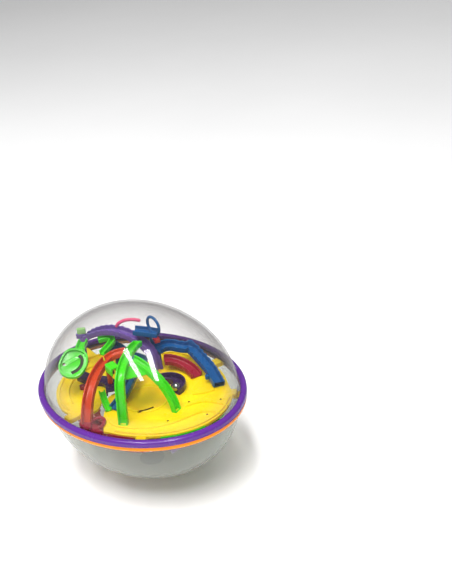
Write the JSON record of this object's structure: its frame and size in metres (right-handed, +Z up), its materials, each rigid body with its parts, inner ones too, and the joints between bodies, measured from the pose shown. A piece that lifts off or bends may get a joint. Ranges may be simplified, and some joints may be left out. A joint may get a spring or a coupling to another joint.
{
  "type": "maze ball puzzle",
  "caption": "Oval clear ball in two shells held by a coloured rim ring, with decks, arches, chutes and channels inside for a small steel ball to roll along.",
  "frame": {"origin": "centre of the oval ball, on the plane where the two clear shells meet", "axes": "+X along the ball's long axis, +Z up through the dome that covers the yellow decks"},
  "size_m": [0.2128, 0.1728, 0.16],
  "materials": {
    "clear_shell": "clear polished",
    "purple_ring": "gloss",
    "orange_ring": "gloss",
    "yellow": "gloss",
    "green": "gloss",
    "orange_red": "gloss",
    "crimson": "gloss",
    "blue": "gloss",
    "teal": "gloss",
    "purple": "gloss",
    "dark_purple": "gloss",
    "pink": "gloss",
    "steel": "polished"
  },
  "bodies": {
    "case": {"upper_shell": "clear_shell", "lower_shell": "clear_shell", "upper_ring": "purple_ring", "lower_ring": "orange_ring", "ring_screws": "steel", "main_deck": "yellow", "left_deck": "yellow", "green_arch": "green", "green_branch": "green", "orange_chute": "orange_red", "purple_arch": "purple", "blue_zigzag": "blue", "crimson_arc": "crimson", "teal_chute": "teal", "teal_trough": "teal", "green_gutter": "green", "green_side_channel": "green", "green_hook": "green", "green_ladle": "green", "green_feeder": "green", "crimson_foot": "crimson", "crimson_loop": "crimson", "blue_hoop": "blue", "teal_fan": "blue", "pink_loop": "pink", "violet_bridge": "dark_purple", "red_bracket": "crimson", "chute_post": "orange_red", "arch_post": "purple", "hoop_post": "blue", "purple_stop": "purple", "green_cap": "green", "red_stop": "crimson", "purple_curl": "dark_purple", "lower_red_rail": "crimson", "lower_green_rail": "green", "lower_blue_bow": "blue", "lower_orange_bow": "orange_red", "lower_violet_spiral": "purple", "lower_pink_ramp": "pink", "lower_green_slide": "green", "lower_crimson_bend": "crimson", "lower_posts": "yellow", "orange_landing": "orange_red", "green_web": "green", "green_edge_rail": "green", "red_edge_rail": "crimson", "hook_post": "dark_purple", "trough_post": "teal", "zigzag_post": "blue"},
    "ball": {"steel_ball": "steel"}
  },
  "joints": [
    {"name": "ball_roll", "type": "hinge", "parent": "case", "child": "ball", "pos_m": [0.025, 0.0095, 0.0085], "axis": [0, 0, 1], "range_deg": [-8, 140]}
  ]
}
